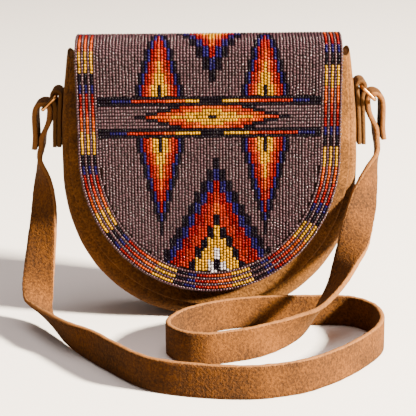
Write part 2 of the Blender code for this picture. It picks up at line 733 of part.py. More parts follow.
# Where the strap hangs and lies: its middle, then the direction from its left edge to its right
STRAP_ROUTE = (
    (-113.4, -1, 112, 0, -1, 0), (-114.1, -2, 105.5, 0.15, -0.99, 0), (-112.3, -6, 92.7, 0.55, -0.83, 0),
    (-111.5, -10.5, 79.9, 0.76, -0.65, 0), (-111.8, -15, 67.3, 0.87, -0.5, 0),
    (-114.2, -24, 41.9, 0.95, -0.2, -0.1), (-115.4, -28.5, 29.3, 0.95, 0, -0.2),
    (-115.2, -33, 20.3, 0.85, 0.3, -0.35), (-113, -39, 13.9, 0.6, 0.6, -0.5),
    (-107, -52, 11.5, 0.4, 0.55, -0.7), (-98, -69, 10.6, 0.3, 0.35, -0.9),
    (-88, -85, 10.6, 0.2, 0.2, -0.97), (-75, -101, 10.5, 0, 0, -1),
    (-59.5, -123, 10.5, 0, 0, -1), (-45, -142, 10.5, 0, 0, -1), (-31, -153, 10.5, 0, 0, -1),
    (-6.5, -161.5, 10.5, 0, 0, -1), (20.5, -165, 10.5, 0, 0, -1), (39, -162, 10.5, 0, 0, -1),
    (57.5, -154, 10.5, 0, 0, -1), (77, -137, 10.5, 0, 0, -1), (93.5, -116, 10.5, 0, 0, -1),
    (104.5, -97, 10.5, 0, 0, -1), (109, -79, 10.5, 0, 0, -1), (107.6, -60, 10.5, 0, 0, -1),
    (101.7, -48, 10.5, 0, 0, -1), (94.4, -41, 10.5, 0, 0, -1), (86.5, -38, 10.5, 0, 0, -1),
    (76.5, -37, 10.5, 0, 0, -1), (55, -37, 10.5, 0, 0, -1), (34.3, -38, 10.5, 0, 0, -1),
    (23.5, -40, 10.5, 0, 0, -1), (12.7, -43, 10.5, 0, 0, -1), (2.1, -48, 10.5, 0, 0, -1),
    (-8.4, -54.5, 10.5, 0, 0, -1), (-18.6, -64, 10.5, 0, 0, -1), (-25.5, -76.6, 10.5, 0, 0, -1),
    (-27.3, -85.7, 10.5, 0, 0, -1), (-25.1, -94.7, 10.5, 0, 0, -1), (-17.9, -103.6, 10.5, 0, 0, -1),
    (-8, -107.9, 10.5, 0, 0, -1), (2, -107.9, 10.5, 0, 0, -1), (21.8, -100.6, 10.5, 0, 0, -1),
    (32.3, -94.5, 10.6, 0, 0, -1), (44.3, -86, 11.2, -0.05, 0.15, -0.97),
    (56.3, -77, 13.5, -0.15, 0.35, -0.92),
    (67, -70, 19.5, -0.35, 0.6, -0.72), (76, -63.5, 28.5, -0.48, 0.62, -0.58),
    (83.3, -57, 38, -0.6, 0.5, -0.5), (88.5, -49, 47, -0.76, 0.35, -0.4), (93.3, -41, 56, -0.9, 0.1, -0.25),
    (96.5, -34, 65.5, -0.92, -0.2, -0.1), (99.9, -27, 75.5, -0.85, -0.48, 0), (104, -17, 86, -0.7, -0.7, 0),
    (108.8, -8, 98, -0.45, -0.9, 0), (112.6, -2, 110, -0.1, -1, 0),
)


def build_strap(left_wire, right_wire, material):
    drop = math.radians(RING_TILT)
    reach, fall = RING_DROP * math.cos(drop), RING_DROP * math.sin(drop)
    points = []
    for out, up in STRAP_LOOP:
        points.append(Vector((-(left_wire + reach) - out, 0, LEFT_RING_HEIGHT - fall + up)))
    sides = [Vector((0, -1, 0))] * len(STRAP_LOOP)
    for x, y, z, left, front, up in STRAP_ROUTE:
        points.append(Vector((x, y, z)))
        sides.append(Vector((left, front, up)))
    for out, up in reversed(STRAP_LOOP):
        points.append(Vector((right_wire + reach + out, 0, RIGHT_RING_HEIGHT - fall + up)))
        sides.append(Vector((0, -1, 0)))
    make_piece(ribbon(points, sides, STRAP_WIDTH, STRAP_THICK), "strap", material)


def main():
    for thing in list(bpy.data.objects):
        bpy.data.objects.remove(thing)
    suede = new_material("suede", (0.55, 0.30, 0.12), 0.95)
    strap_suede = new_material("strap_suede", (0.62, 0.34, 0.13), 0.95)
    brass = new_material("antique_brass", (0.45, 0.28, 0.11), 0.35, 1.0)
    steel = new_material("snap_steel", (0.6, 0.58, 0.54), 0.3, 1.0)
    colours = {
        "grey": new_material("grey_beads", (0.20, 0.14, 0.14), 0.25),
        "fire": new_material("fire_beads", (0.85, 0.30, 0.05), 0.25),
        "blue": new_material("blue_beads", (0.03, 0.04, 0.30), 0.25),
        "black": new_material("black_beads", (0.01, 0.01, 0.015), 0.25),
    }
    build_panel("front_panel", -1, suede)
    build_panel("back_panel", 1, suede)
    build_gusset(suede)
    build_yoke(suede)
    left_wire = build_tab("left_tab", -1, LEFT_RING_HEIGHT, suede)
    right_wire = build_tab("right_tab", 1, RIGHT_RING_HEIGHT, suede)
    build_ring("left_ring", -1, left_wire, LEFT_RING_HEIGHT, brass)
    build_ring("right_ring", 1, right_wire, RIGHT_RING_HEIGHT, brass)
    hinge_depth = half_depth(HINGE_HEIGHT) + CLEAR + FLAP_THICK + HINGE_STAND_OFF
    hinge = new_pivot("flap_hinge", (0, hinge_depth, HINGE_HEIGHT))
    build_flap(suede, hinge)
    build_vertical_beads(colours, hinge)
    build_band(colours, hinge)
    build_border(colours, hinge)
    build_snap(steel, hinge)
    build_strap(left_wire, right_wire, strap_suede)


main()
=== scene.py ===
import math

import bmesh
import bpy
import numpy as np
from mathutils import Matrix, Quaternion, Vector


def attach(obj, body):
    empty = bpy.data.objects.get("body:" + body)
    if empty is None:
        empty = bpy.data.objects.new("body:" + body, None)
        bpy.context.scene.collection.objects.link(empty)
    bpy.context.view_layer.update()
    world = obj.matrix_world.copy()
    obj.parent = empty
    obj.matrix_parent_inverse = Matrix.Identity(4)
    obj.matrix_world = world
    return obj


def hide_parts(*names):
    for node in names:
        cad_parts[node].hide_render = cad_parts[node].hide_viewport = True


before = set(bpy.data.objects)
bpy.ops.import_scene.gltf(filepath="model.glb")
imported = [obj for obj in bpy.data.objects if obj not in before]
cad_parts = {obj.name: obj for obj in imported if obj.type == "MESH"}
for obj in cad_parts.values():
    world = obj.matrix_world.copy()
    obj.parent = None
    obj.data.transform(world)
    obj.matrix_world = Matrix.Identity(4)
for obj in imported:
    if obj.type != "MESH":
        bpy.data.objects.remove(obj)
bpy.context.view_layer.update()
MM = 0.001

# Camera: a long lens a metre in front of the bag, 15 degrees above it, turned a little because the
# photographer's horizon was not quite level.

CAMERA_PLACE = Vector((-1.3, -966, 330.4)) * MM
CAMERA_AIM = Vector((-1.3, 0, 71.6)) * MM
CAMERA_ROLL = math.radians(-0.55)
SENSOR_WIDTH = 36.0
FOCAL_PIXELS = 1470 / 416

camera_data = bpy.data.cameras.new("camera")
camera_data.sensor_width = SENSOR_WIDTH
camera_data.lens = SENSOR_WIDTH * FOCAL_PIXELS
camera_data.clip_end = 20
camera = bpy.data.objects.new("camera", camera_data)
camera.location = CAMERA_PLACE
camera.rotation_mode = "QUATERNION"
facing = (CAMERA_AIM - CAMERA_PLACE).to_track_quat("-Z", "Y")
camera.rotation_quaternion = facing @ Quaternion((0, 0, 1), CAMERA_ROLL)
bpy.context.scene.collection.objects.link(camera)
bpy.context.scene.camera = camera

# Floor: the sheet of warm white paper that the bag stands on.


def hex_colour(code):
    """Linear RGBA from a hex sRGB code."""
    channels = []
    for start in (0, 2, 4):
        value = int(code.lstrip("#")[start:start + 2], 16) / 255
        channels.append(value / 12.92 if value <= 0.04045 else ((value + 0.055) / 1.055) ** 2.4)
    return (*channels, 1.0)


def start_material(name, roughness, metallic=0.0):
    material = bpy.data.materials.new(name)
    material.use_nodes = True
    shader = material.node_tree.nodes["Principled BSDF"]
    shader.inputs["Roughness"].default_value = roughness
    shader.inputs["Metallic"].default_value = metallic
    return material, shader


def add_node(material, kind, settings, **sockets):
    """A node with its settings. A socket takes another node's output, or a value."""
    node = material.node_tree.nodes.new(kind)
    for key, value in settings.items():
        setattr(node, key, value)
    for key, value in sockets.items():
        socket = node.inputs[int(key[1:])] if key[1:].isdigit() else node.inputs[key.replace("_", " ")]
        if isinstance(value, bpy.types.NodeSocket):
            material.node_tree.links.new(value, socket)
        else:
            socket.default_value = value
    return node


paper, paper_shader = start_material("uncoated_paper", 0.9)
path = add_node(paper, "ShaderNodeLightPath", {})
# Light bounced from the paper is taken from a darker tone than the paper shows: painted shade, which keeps the bag's
# sides that face the floor dark.
given_back = add_node(
    paper, "ShaderNodeMix", {"data_type": "RGBA"},
    i0=path.outputs["Is Diffuse Ray"], i6=hex_colour("#EFECE7"), i7=hex_colour("#94887C"),
)
paper.node_tree.links.new(given_back.outputs[2], paper_shader.inputs["Base Color"])
paper_shader.inputs["Specular IOR Level"].default_value = 0.2
bm = bmesh.new()
bmesh.ops.create_grid(bm, x_segments=1, y_segments=1, size=6)
floor_mesh = bpy.data.meshes.new("paper_floor")
bm.to_mesh(floor_mesh)
bm.free()
floor_mesh.materials.append(paper)
floor = bpy.data.objects.new("paper_floor", floor_mesh)
floor.location.z = -0.0002
bpy.context.scene.collection.objects.link(floor)

# Lights: one strong soft box low on the right, a little in front, which leaves everything that faces the
# camera or the left in shade, and the weak even light of a pale room.

KEY_AZIMUTH = math.radians(66)
KEY_HEIGHT = math.radians(28)
KEY_DISTANCE = 4.0
KEY_POWER = 1900.0
KEY_SIZE = 0.4
CEILING_HEIGHT = 2.2
CEILING_POWER = 30.0
CEILING_SIZE = 1.5
ROOM_LIGHT = 0.24
ROOM_IN_GLOSS = 0.12

level = KEY_DISTANCE * math.cos(KEY_HEIGHT)
key_place = (level * math.sin(KEY_AZIMUTH), -level * math.cos(KEY_AZIMUTH), KEY_DISTANCE * math.sin(KEY_HEIGHT))
for name, lamp_place, power, size, tint in (
    ("key_soft_box", key_place, KEY_POWER, KEY_SIZE, "#FFF0DC"),
    ("ceiling_soft_box", (0, 0, CEILING_HEIGHT), CEILING_POWER, CEILING_SIZE, "#FFEDEA"),
):
    light = bpy.data.lights.new(name, "AREA")
    light.energy = power
    light.size = size
    light.color = hex_colour(tint)[:3]
    lamp = bpy.data.objects.new(name, light)
    lamp.location = lamp_place
    lamp.rotation_mode = "QUATERNION"
    lamp.rotation_quaternion = (Vector((0, 0, 0.06)) - lamp.location).to_track_quat("-Z", "Y")
    bpy.context.scene.collection.objects.link(lamp)
room = bpy.data.worlds.new("pale_room")
room.use_nodes = True
room.node_tree.nodes["Background"].inputs["Color"].default_value = hex_colour("#FFEFE8")
path = add_node(room, "ShaderNodeLightPath", {})
strength = add_node(
    room, "ShaderNodeMapRange", {}, Value=path.outputs["Is Glossy Ray"], i3=ROOM_LIGHT, i4=ROOM_IN_GLOSS
)
room.node_tree.links.new(strength.outputs[0], room.node_tree.nodes["Background"].inputs["Strength"])
bpy.context.scene.world = room

# Strap: one long strip cut from 3 mm suede, with a row of stitch holes along each edge and pale,
# frayed cut sides. Each end goes down through a ring and is turned back on its outside.

STRAP_WIDTH = 21.0
STRAP_THICK = 3.4
RING_REACH = 12.6 * math.cos(math.radians(45))
LEFT_TAB_WIRE = (-100.904, 151.8)
RIGHT_TAB_WIRE = (100.436, 156.5)
STRAP_SMOOTHING = 6
STRAP_LOOP = (
    (6.9, -27.4), (5.9, -19.5), (6.0, -12.0), (5.9, -4.5), (4.8, 0.5), (2.6, 2.6), (0.0, 3.3),
    (-2.6, 2.6), (-4.2, 0.3), (-4.0, -4.5), (-3.0, -9.5), (-0.8, -14.5), (1.5, -19.5), (2.4, -26.5),
)
STRAP_ROUTE = (
    (-113.4, -1, 112, 0, -1, 0), (-114.1, -2, 105.5, 0.15, -0.99, 0), (-112.3, -6, 92.7, 0.55, -0.83, 0),
    (-111.5, -10.5, 79.9, 0.76, -0.65, 0), (-111.8, -15, 67.3, 0.87, -0.5, 0),
    (-114.2, -24, 41.9, 0.95, -0.2, -0.1), (-115.4, -28.5, 29.3, 0.95, 0, -0.2),
    (-115.2, -33, 20.3, 0.85, 0.3, -0.35), (-113, -39, 13.9, 0.6, 0.6, -0.5),
    (-107, -52, 11.5, 0.4, 0.55, -0.7), (-98, -69, 10.6, 0.3, 0.35, -0.9),
    (-88, -85, 10.6, 0.2, 0.2, -0.97), (-75, -101, 10.5, 0, 0, -1),
    (-59.5, -123, 10.5, 0, 0, -1), (-45, -142, 10.5, 0, 0, -1), (-31, -153, 10.5, 0, 0, -1),
    (-6.5, -161.5, 10.5, 0, 0, -1), (20.5, -165, 10.5, 0, 0, -1), (39, -162, 10.5, 0, 0, -1),
    (57.5, -154, 10.5, 0, 0, -1), (77, -137, 10.5, 0, 0, -1), (93.5, -116, 10.5, 0, 0, -1),
    (104.5, -97, 10.5, 0, 0, -1), (109, -79, 10.5, 0, 0, -1), (107.6, -60, 10.5, 0, 0, -1),
    (101.7, -48, 10.5, 0, 0, -1), (94.4, -41, 10.5, 0, 0, -1), (86.5, -38, 10.5, 0, 0, -1),
    (76.5, -37, 10.5, 0, 0, -1), (55, -37, 10.5, 0, 0, -1), (34.3, -38, 10.5, 0, 0, -1),
    (23.5, -40, 10.5, 0, 0, -1), (12.7, -43, 10.5, 0, 0, -1), (2.1, -48, 10.5, 0, 0, -1),
    (-8.4, -54.5, 10.5, 0, 0, -1), (-18.6, -64, 10.5, 0, 0, -1), (-25.5, -76.6, 10.5, 0, 0, -1),
    (-27.3, -85.7, 10.5, 0, 0, -1), (-25.1, -94.7, 10.5, 0, 0, -1), (-17.9, -103.6, 10.5, 0, 0, -1),
    (-8, -107.9, 10.5, 0, 0, -1), (2, -107.9, 10.5, 0, 0, -1), (21.8, -100.6, 10.5, 0, 0, -1),
    (32.3, -94.5, 10.6, 0, 0, -1), (44.3, -86, 11.2, -0.05, 0.15, -0.97), (56.3, -77, 13.5, -0.15, 0.35, -0.92),
    (67, -70, 19.5, -0.35, 0.6, -0.72), (76, -63.5, 28.5, -0.48, 0.62, -0.58),
    (83.3, -57, 38, -0.6, 0.5, -0.5), (88.5, -49, 47, -0.76, 0.35, -0.4), (93.3, -41, 56, -0.9, 0.1, -0.25),
    (96.5, -34, 65.5, -0.92, -0.2, -0.1), (99.9, -27, 75.5, -0.85, -0.48, 0), (104, -17, 86, -0.7, -0.7, 0),
    (108.8, -8, 98, -0.45, -0.9, 0), (112.6, -2, 110, -0.1, -1, 0),
)


def smooth_line(points, steps):
    """A curve through all the points, with so many steps between each two."""
    line = []
    for i in range(len(points) - 1):
        before, start = points[max(i - 1, 0)], points[i]
        end, after = points[i + 1], points[min(i + 2, len(points) - 1)]
        for step in range(steps):
            t = step / steps
            line.append(
                0.5 * (2 * start + (end - before) * t + (2 * before - 5 * start + 4 * end - after) * t**2
                       + (3 * start - before - 3 * end + after) * t**3)
            )
    return line + [points[-1].copy()]


def sweep(bm, sections, marks, closed=False):
    """Extrudes the first section through the others. Marks gives each section's (along, across) values."""
    layer = bm.verts.layers.float_vector.get("run") or bm.verts.layers.float_vector.new("run")
    ring = [bm.verts.new(point) for point in sections[0]]
    edges = [bm.edges.new((ring[i - 1], ring[i])) for i in range(len(ring))]
    first_ring, first_edges = ring, edges
    for vert, mark in zip(ring, marks[0]):
        vert[layer] = mark
    for section, mark_row in zip(sections[1:], marks[1:]):
        places = {vert.co[:]: i for i, vert in enumerate(ring)}
        made = bmesh.ops.extrude_edge_only(bm, edges=edges)["geom"]
        edges = [item for item in made if isinstance(item, bmesh.types.BMEdge)]
        fresh = [item for item in made if isinstance(item, bmesh.types.BMVert)]
        ring = [None] * len(section)
        for vert in fresh:
            ring[places[vert.co[:]]] = vert
        for vert, point, mark in zip(ring, section, mark_row):
            vert.co = point
            vert[layer] = mark
    if closed:
        bmesh.ops.bridge_loops(bm, edges=edges + first_edges)
    else:
        bm.faces.new(first_ring)
        bm.faces.new(ring)
    bmesh.ops.recalc_face_normals(bm, faces=bm.faces)
    if bm.calc_volume(signed=True) < 0:
        bmesh.ops.reverse_faces(bm, faces=bm.faces)


def finish_piece(bm, name, material, body, sharp=50, replaces=()):
    """Makes the object from millimetres, smooth-shaded, riding on its body."""
    bmesh.ops.scale(bm, vec=(MM, MM, MM), verts=bm.verts)
    mesh = bpy.data.meshes.new(name)
    bm.to_mesh(mesh)
    bm.free()
    mesh.materials.append(material)
    mesh.shade_smooth()
    mesh.set_sharp_from_angle(angle=math.radians(sharp))
    piece = bpy.data.objects.new(name, mesh)
    bpy.context.scene.collection.objects.link(piece)
    if body:
        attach(piece, body)
    if replaces:
        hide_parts(*replaces)
    return piece


def strip_section(point, along, across, width, thick, rounding=0.7, wave=(0, 0)):
    """A flat strip's cross-section with rounded corners, and its left and right edge moved by wave."""
    across = (across - along * across.dot(along)).normalized()
    up = along.cross(across)
    half, rise = width / 2, thick / 2
    outline = []
    for side, edge in ((-1, -half + wave[0]), (1, half + wave[1])):
        corners = (
            (edge, 0.0), (edge - side * rounding * 0.3, rise - rounding * 0.7),
            (edge - side * rounding, rise), (edge - side * 2.4, rise),
        )
        lower = [(x, -y) for x, y in corners[1:]]
        if side < 0:
            outline += lower[::-1] + list(corners)
        else:
            outline += list(corners[1:])[::-1] + [corners[0]] + lower
    middle = [(-half / 3, rise), (half / 3, rise)]
    outline = outline[:7] + middle + outline[7:] + [(half / 3, -rise), (-half / 3, -rise)]
    return [point + across * x + up * y for x, y in outline], [x for x, _ in outline]


strap_points = []
strap_sides = []
for out, rise in STRAP_LOOP:
    strap_points.append(Vector((LEFT_TAB_WIRE[0] - RING_REACH - out, 0, LEFT_TAB_WIRE[1] - RING_REACH + rise)))
    strap_sides.append(Vector((0, -1, 0)))
for x, y, z, left, front, up in STRAP_ROUTE:
    strap_points.append(Vector((x, y, z)))
    strap_sides.append(Vector((left, front, up)))
for out, rise in reversed(STRAP_LOOP):
    strap_points.append(Vector((RIGHT_TAB_WIRE[0] + RING_REACH + out, 0, RIGHT_TAB_WIRE[1] - RING_REACH + rise)))
    strap_sides.append(Vector((0, -1, 0)))
strap_line = smooth_line(strap_points, STRAP_SMOOTHING)
strap_across = smooth_line(strap_sides, STRAP_SMOOTHING)
strap_length = 0.0
sections, marks = [], []
for i, point in enumerate(strap_line):
    if i:
        strap_length += (point - strap_line[i - 1]).length
    along = (strap_line[min(i + 1, len(strap_line) - 1)] - strap_line[max(i - 1, 0)]).normalized()
    fray = 0.25 * math.sin(strap_length * 1.7) + 0.2 * math.sin(strap_length * 0.61 + 1)
    section, places = strip_section(
        point, along, strap_across[i], STRAP_WIDTH, STRAP_THICK, wave=(fray * 0.5, -fray * 0.4)
    )
    sections.append(section)
    marks.append([(strap_length, place, 0.0) for place in places])
bm = bmesh.new()
sweep(bm, sections, marks)


def suede_material(name, light, middle, dark, edge=None, half_width=None, pitch=2.4, tint_scale=0.035):
    """Split leather with a brushed nap: no shine, a soft pale sheen at grazing angles, patches where the
    nap lies the other way, and a fine felted grain."""
    material, shader = start_material(name, 0.92)
    shader.inputs["Specular IOR Level"].default_value = 0.15
    shader.inputs["Sheen Weight"].default_value = 0.06
    shader.inputs["Sheen Roughness"].default_value = 0.5
    shader.inputs["Sheen Tint"].default_value = hex_colour("#D89A50")
    place = add_node(material, "ShaderNodeTexCoord", {}).outputs["Object"]
    brushed = add_node(
        material, "ShaderNodeTexNoise", {}, Vector=place, Scale=1 / tint_scale, Detail=5.0, Roughness=0.62
    )
    nap = add_node(material, "ShaderNodeTexNoise", {}, Vector=place, Scale=640.0, Detail=2.0, Roughness=0.7)
    mixed = add_node(
        material, "ShaderNodeMix", {"data_type": "FLOAT"},
        i0=0.55, i2=brushed.outputs["Fac"], i3=nap.outputs["Fac"],
    )
    ramp = add_node(material, "ShaderNodeValToRGB", {}, Fac=mixed.outputs[0])
    ramp.color_ramp.elements[0].position = 0.38
    ramp.color_ramp.elements[0].color = hex_colour(dark)
    ramp.color_ramp.elements[1].position = 0.62
    ramp.color_ramp.elements[1].color = hex_colour(light)
    ramp.color_ramp.elements.new(0.5).color = hex_colour(middle)
    colour = ramp.outputs["Color"]
    height = nap.outputs["Fac"]
    if edge:
        run = add_node(material, "ShaderNodeAttribute", {"attribute_name": "run"})
        split = add_node(material, "ShaderNodeSeparateXYZ", {}, Vector=run.outputs["Vector"])
        away = add_node(
            material, "ShaderNodeMath", {"operation": "ABSOLUTE"}, i0=split.outputs["Y"]
        ).outputs[0]
        ragged = add_node(
            material, "ShaderNodeMath", {"operation": "MULTIPLY_ADD"},
            i0=nap.outputs["Fac"], i1=1.4, i2=away,
        ).outputs[0]
        frayed = add_node(
            material, "ShaderNodeMapRange", {}, Value=ragged, i1=half_width - 0.1, i2=half_width + 0.4
        ).outputs[0]
        beat = add_node(
            material, "ShaderNodeMath", {"operation": "PINGPONG"}, i0=split.outputs["X"], i1=pitch / 2
        ).outputs[0]
        line = add_node(
            material, "ShaderNodeMath", {"operation": "SUBTRACT"}, i0=away, i1=half_width - 1.4
        ).outputs[0]
        reach = add_node(
            material, "ShaderNodeCombineXYZ", {}, X=beat, Y=line
        ).outputs[0]
        distance = add_node(
            material, "ShaderNodeVectorMath", {"operation": "LENGTH"}, i0=reach
        ).outputs["Value"]
        # The stitch holes are painted dark brown, painted shade inside them, and are dented by the bump below.
        hole = add_node(
            material, "ShaderNodeMapRange", {}, Value=distance, i1=0.2, i2=0.5, i3=0.7, i4=0.0
        ).outputs[0]
        edged = add_node(
            material, "ShaderNodeMix", {"data_type": "RGBA"},
            i0=frayed, i6=colour, i7=hex_colour(edge),
        ).outputs[2]
        colour = add_node(
            material, "ShaderNodeMix", {"data_type": "RGBA"},
            i0=hole, i6=edged, i7=hex_colour("#4A2C15"),
        ).outputs[2]
        height = add_node(
            material, "ShaderNodeMath", {"operation": "SUBTRACT"}, i0=height, i1=hole
        ).outputs[0]
    material.node_tree.links.new(colour, shader.inputs["Base Color"])
    bump = add_node(
        material, "ShaderNodeBump", {}, Strength=0.8, Distance=0.0007, Height=height
    )
    material.node_tree.links.new(bump.outputs["Normal"], shader.inputs["Normal"])
    return material


strap_suede = suede_material(
    "strap_split_suede", "#663C10", "#4A2B0C", "#2C1908", edge="#7A5028", half_width=STRAP_WIDTH / 2
)
strap = finish_piece(bm, "suede_strap", strap_suede, "bag", replaces=["strap"])

# Body panels: front and back cut from 2.5 mm tan suede, one side of a saddle shape, sewn to the gusset
# all round and turned, so that each panel pulls in at the seam and stands a little proud inside it.

PANEL_TOP = 178.0
GUSSET_TOP = 181.0
SEAM_BASE = 11.0
WIDEST = 105.0
CROWN_POWER = 2.2
PANEL_THICK = 2.5
PANEL_CLEAR = 0.3
SIDE_STEPS = 14
ROUND_STEPS = 34


def half_depth(height):
    return (52.0 - 16.0 * (height - SEAM_BASE) / (PANEL_TOP - SEAM_BASE)) / 2


def saddle_outline(half_width, top_half_width, widest, top, bottom, power, side_steps, round_steps):
    """From the top right corner down and round the base to the top left."""
    right = []
    for step in range(side_steps):
        rise = 1 - step / side_steps
        right.append((half_width - (half_width - top_half_width) * rise**CROWN_POWER,
                      widest + (top - widest) * rise))
    for step in range(round_steps + 1):
        angle = math.pi / 2 * step / round_steps
        across = max(0.0, math.cos(angle)) ** (2 / power)
        right.append((half_width * across, widest - (widest - bottom) * math.sin(angle) ** (2 / power)))
    return right + [(-x, z) for x, z in reversed(right[:-1])]


seam_line = saddle_outline(92.5, 90.2, WIDEST + 5.0, PANEL_TOP, SEAM_BASE, 2.0, SIDE_STEPS, ROUND_STEPS)
crown_line = saddle_outline(98.5, 92.7, WIDEST, GUSSET_TOP, -1.5, CROWN_POWER, SIDE_STEPS, ROUND_STEPS)
body_suede = suede_material("body_split_suede", "#7A4E1E", "#5A3814", "#38220C")


def build_panel(name, side, replaced):
    bm = bmesh.new()
    face = bm.faces.new([bm.verts.new((x, 0, z)) for x, z in seam_line])
    raised = bmesh.ops.extrude_face_region(bm, geom=[face])["geom"]
    outer = [item for item in raised if isinstance(item, bmesh.types.BMVert)]
    bmesh.ops.translate(bm, vec=(0, PANEL_THICK, 0), verts=outer)
    rim = [edge for edge in bm.edges if all(vert in outer for vert in edge.verts)]
    bmesh.ops.bevel(bm, geom=rim, offset=1.3, affect="EDGES", segments=4, profile=0.5, material=-1)
    bm.normal_update()
    front = max(bm.faces, key=lambda item: item.calc_area() * item.normal.y)
    for shrink, rise in ((0.965, 0.5), (0.93, 0.5), (0.88, 0.4), (0.8, 0.3), (0.6, 0.2)):
        raised = bmesh.ops.extrude_face_region(bm, geom=[front])["geom"]
        bmesh.ops.delete(bm, geom=[front], context="FACES_ONLY")
        front = next(item for item in raised if isinstance(item, bmesh.types.BMFace))
        middle = Matrix.Translation((0, 0, -WIDEST))
        bmesh.ops.scale(bm, vec=(shrink, 1, shrink), verts=front.verts, space=middle)
        bmesh.ops.translate(bm, vec=(0, rise, 0), verts=front.verts)
    for vert in bm.verts:
        vert.co.y = side * (half_depth(vert.co.z) - PANEL_THICK + vert.co.y)
    bmesh.ops.recalc_face_normals(bm, faces=bm.faces)
    return finish_piece(bm, name, body_suede, "bag", replaces=[replaced])


build_panel("front_suede_panel", -1, "front_panel")
build_panel("back_suede_panel", 1, "back_panel")

# Gusset: one strip that runs down one side, under the base and up the other. It is sewn face to face
# with the panels and turned out, so it bulges between two sunk seams, and its bottom is pressed flat.

GUSSET_WALL = 2.2
GUSSET_ROUNDS = 16


def gusset_section(seam, crown, place):
    seam, crown = Vector((seam[0], 0, seam[1])), Vector((crown[0], 0, crown[1]))
    out = (crown - seam).normalized()
    bulge = (crown - seam).length
    tip = seam - out * 5.0
    loop, mark = [], []
    for skin in (0.0, GUSSET_WALL):
        reach = half_depth(seam.z) - PANEL_THICK - PANEL_CLEAR - skin
        tip_reach = half_depth(tip.z) - PANEL_THICK - PANEL_CLEAR - skin
        side = [tip - Vector((0, tip_reach, 0))]
        for step in range(GUSSET_ROUNDS + 1):
            angle = math.pi * step / GUSSET_ROUNDS
            swell = math.sin(angle) ** (2 / 2.6) if 0 < step < GUSSET_ROUNDS else 0.0
            swing = math.cos(angle)
            across = math.copysign(abs(swing) ** (2 / 2.6), swing)
            slack = 0.35 * math.sin(place * 0.21 + 1.3) * math.sin(place * 0.083) * (1 - abs(across))
            side.append(seam + out * ((bulge - skin) * swell + slack) - Vector((0, reach * across, 0)))
        side.append(tip + Vector((0, tip_reach, 0)))
        side = [Vector((point.x, point.y, max(point.z, skin))) for point in side]
        order = side if skin == 0.0 else side[::-1]
        loop += order
        mark += [(place, point.y, 0.0) for point in order]
    return loop, mark


sections, marks = [], []
place = 0.0
for i, (seam, crown) in enumerate(zip(seam_line, crown_line)):
    if i:
        place += math.dist(crown, crown_line[i - 1])
    section, mark = gusset_section(seam, crown, place)
    sections.append(section)
    marks.append(mark)
bm = bmesh.new()
sweep(bm, sections, marks)
finish_piece(bm, "gusset_suede", body_suede, "bag", replaces=["gusset"])

bm = bmesh.new()
for seam, crown in ((seam_line[0], crown_line[0]), (seam_line[-1], crown_line[-1])):
    loop, _ = gusset_section(seam, crown, 0.0)
    rim = [Vector((point.x, point.y * 0.96, point.z - 0.2)) for point in loop[:len(loop) // 2]]
    face = bm.faces.new([bm.verts.new(point) for point in rim])
    lowered = bmesh.ops.extrude_face_region(bm, geom=[face])["geom"]
    lower = [item for item in lowered if isinstance(item, bmesh.types.BMVert)]
    bmesh.ops.translate(bm, vec=(0, 0, -1.2), verts=lower)
bmesh.ops.recalc_face_normals(bm, faces=bm.faces)
# The folds' suede is coloured paler than the body's: painted light, which lifts the shade that falls on them beside the
# flap.
corner_suede_painted_light = suede_material("painted_light_corner_suede", "#A87440", "#8A5A2C", "#5E3A18")
finish_piece(bm, "mouth_corner_folds", corner_suede_painted_light, "bag")

# Tabs: a 20 mm strip at each side, folded over the ring's wire, with both layers sewn down the gusset.

TAB_WIDTH = 20.0
TAB_THICK = 2.6
TAB_SLIT = 0.4
TAB_LOOP = 2.8
TAB_STAND_OFF = 1.6
TAB_END = 117.0
TAB_CLOSING = 9.0


def crown_reach(height):
    return 98.5 - 5.8 * max(0.0, (height - WIDEST) / (GUSSET_TOP - WIDEST)) ** CROWN_POWER


def build_tab(name, side, ring_height, replaced):
    wire = crown_reach(ring_height) + TAB_STAND_OFF + TAB_LOOP
    apart = TAB_THICK + TAB_SLIT
    path = []
    for step in range(14):
        z = TAB_END + (ring_height - TAB_END) * step / 13
        path.append((crown_reach(z) + TAB_STAND_OFF, z))
    for step in range(1, 16):
        angle = math.pi * (1 - step / 16)
        path.append((wire + TAB_LOOP * math.cos(angle), ring_height + TAB_LOOP * math.sin(angle)))
    for step in range(9):
        z = ring_height - TAB_CLOSING * step / 8
        gap = apart + (2 * TAB_LOOP - apart) * (0.5 + 0.5 * math.cos(math.pi * step / 8))
        path.append((crown_reach(z) + TAB_STAND_OFF + gap, z))
    for step in range(1, 9):
        z = ring_height - TAB_CLOSING - (ring_height - TAB_CLOSING - TAB_END) * step / 8
        path.append((crown_reach(z) + TAB_STAND_OFF + apart, z))
    points = [Vector((side * x, 0, z)) for x, z in path]
    sections, marks = [], []
    run = 0.0
    for i, point in enumerate(points):
        if i:
            run += (point - points[i - 1]).length
        along = (points[min(i + 1, len(points) - 1)] - points[max(i - 1, 0)]).normalized()
        section, places = strip_section(point, along, Vector((0, -1, 0)), TAB_WIDTH, TAB_THICK, rounding=0.5)
        sections.append(section)
        marks.append([(run, place, 0.0) for place in places])
    bm = bmesh.new()
    sweep(bm, sections, marks)
    return finish_piece(bm, name, tab_suede, "bag", replaces=[replaced])


tab_suede = suede_material("tab_split_suede", "#643E18", "#482C10", "#2A190A", edge="#553818", half_width=TAB_WIDTH / 2)
build_tab("left_suede_tab", -1, LEFT_TAB_WIRE[1], "left_tab")
build_tab("right_suede_tab", 1, RIGHT_TAB_WIRE[1], "right_tab")

# Rings: a loop of 2.4 mm wire bent to a rectangle and joined, in brass darkened to a warm brown and
# rubbed bright where the strap and the hand wear it.

WIRE_RADIUS = 1.2
RING_DROP = 12.6
RING_HALF_SPAN = 13.5
RING_CORNER = 2.5

